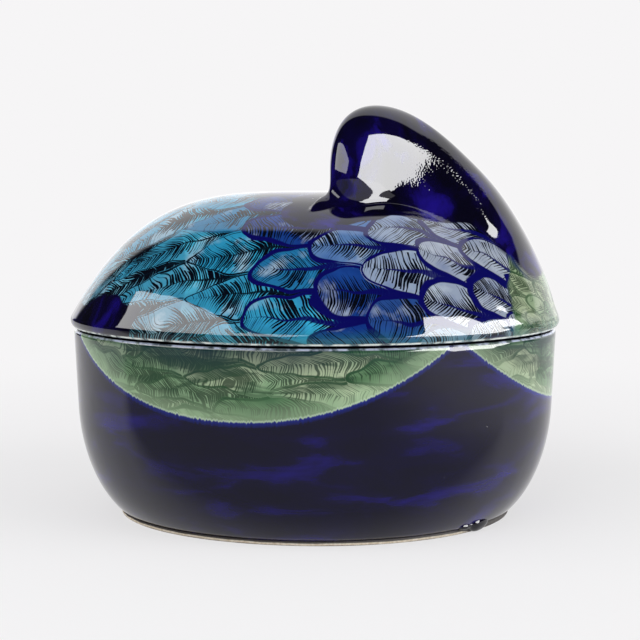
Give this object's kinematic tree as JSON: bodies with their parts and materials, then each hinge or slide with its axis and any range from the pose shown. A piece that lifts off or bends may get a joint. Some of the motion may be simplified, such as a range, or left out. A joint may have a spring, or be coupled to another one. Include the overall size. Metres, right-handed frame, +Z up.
{
  "type": "lidded tureen",
  "caption": "Oval stoneware tureen shaped as a resting bird: a footed bowl, and a domed lid with a locating flange whose neck and turned-back head serve as the handle.",
  "frame": {"origin": "on the table under the middle of the oval, at the underside of the foot ring", "axes": "+Z up, +X along the long axis of the oval from the tail to the breast, -Y the side that the bird's head is turned to"},
  "size_m": [0.2332, 0.1878, 0.1928],
  "materials": {
    "cobalt_glaze": "glossy dark cobalt glaze, brushed, with a pale green feathered band under the rim",
    "bare_stoneware": "bare fired stoneware, wiped clean of glaze",
    "painted_glaze": "glossy clear glaze over painted plumage in blues, turquoise and green",
    "inside_glaze": "glossy cobalt glaze",
    "neck_glaze": "glossy deep cobalt glaze"
  },
  "bodies": {
    "bowl": {"bowl": "cobalt_glaze", "foot_ring": "bare_stoneware"},
    "lid": {"lid_dome": "painted_glaze", "lid_flange": "inside_glaze", "neck_and_head": "neck_glaze"}
  },
  "joints": [
    {"name": "lid_lift", "type": "slide", "parent": "bowl", "child": "lid", "axis": [0, 0, 1], "range_m": [0, 0.12]}
  ]
}
